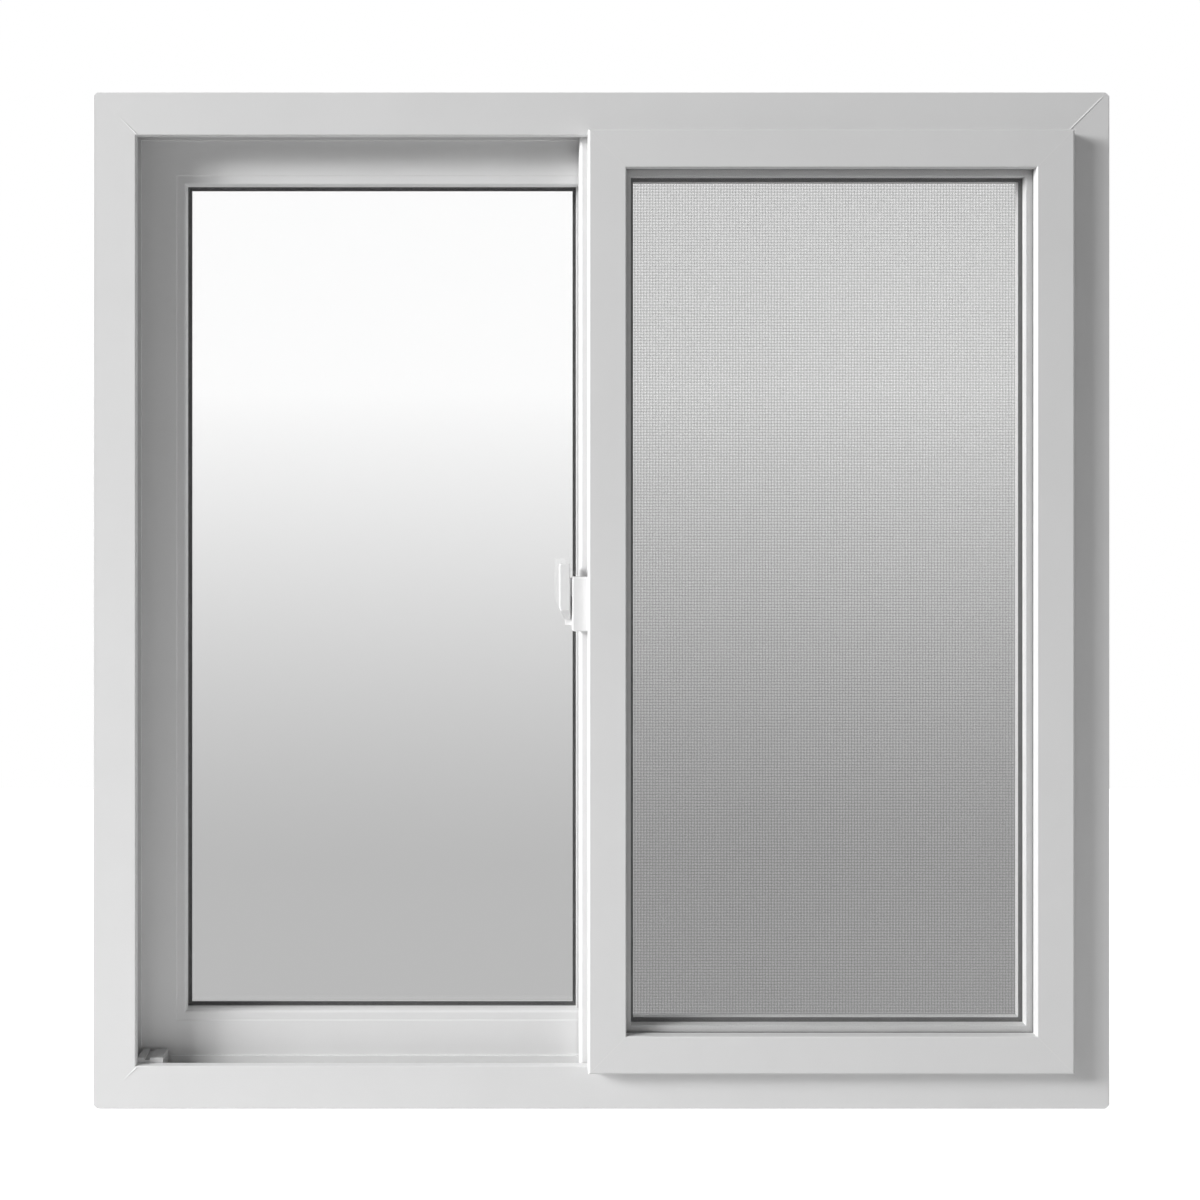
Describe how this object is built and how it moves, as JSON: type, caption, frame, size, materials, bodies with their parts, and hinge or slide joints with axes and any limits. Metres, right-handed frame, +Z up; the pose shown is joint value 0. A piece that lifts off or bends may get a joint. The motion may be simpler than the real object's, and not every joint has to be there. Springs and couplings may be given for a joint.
{
  "type": "horizontal sliding window",
  "caption": "Square white vinyl window with a fixed glazed light, a sash that slides sideways on rollers, a latch on its meeting stile and an insect screen outside.",
  "frame": {"origin": "middle of the sill's flat underside: middle of the width and of the frame's depth", "axes": "+X to the right as seen from the room, +Y from the room to the outside, +Z up"},
  "size_m": [0.9018, 0.0995, 0.9017],
  "materials": {
    "vinyl": "satin white uPVC",
    "glass": "clear float glass",
    "gasket": "matt dark grey",
    "spacer": "light grey foam",
    "block": "matt black",
    "roller": "zinc plated",
    "wheel": "natural nylon",
    "pile": "grey pile",
    "latch": "white",
    "screen_bar": "white enamel",
    "mesh": "charcoal fibreglass",
    "spline": "black vinyl cord"
  },
  "bodies": {
    "root": {"frame_head": "vinyl", "frame_sill": "vinyl", "frame_jamb_left": "vinyl", "frame_jamb_right": "vinyl", "weep_covers": "vinyl", "sash_stop": "latch", "fixed_top_rail": "vinyl", "fixed_bottom_rail": "vinyl", "fixed_side_stile": "vinyl", "fixed_meeting_stile": "vinyl", "fixed_room_pane": "glass", "fixed_outer_pane": "glass", "fixed_spacer": "spacer", "fixed_gasket": "gasket", "fixed_bead_seal": "gasket", "fixed_setting_blocks": "block", "fixed_glazing_beads": "vinyl", "sash_top_rail": "vinyl", "sash_bottom_rail": "vinyl", "sash_meeting_stile": "vinyl", "sash_jamb_stile": "vinyl", "sash_room_pane": "glass", "sash_outer_pane": "glass", "sash_spacer": "spacer", "sash_gasket": "gasket", "sash_bead_seal": "gasket", "sash_setting_blocks": "block", "sash_glazing_beads": "vinyl", "roller_housings": "roller", "roller_wheels": "wheel", "sash_pile_seals": "pile", "meeting_pile_seal": "pile", "latch_base": "latch", "latch_lever": "latch", "screen_bar_bottom": "screen_bar", "screen_bar_top": "screen_bar", "screen_bar_left": "screen_bar", "screen_bar_right": "screen_bar", "screen_mesh": "mesh", "screen_spline": "spline", "screen_pull_tabs": "latch"}
  },
  "joints": []
}
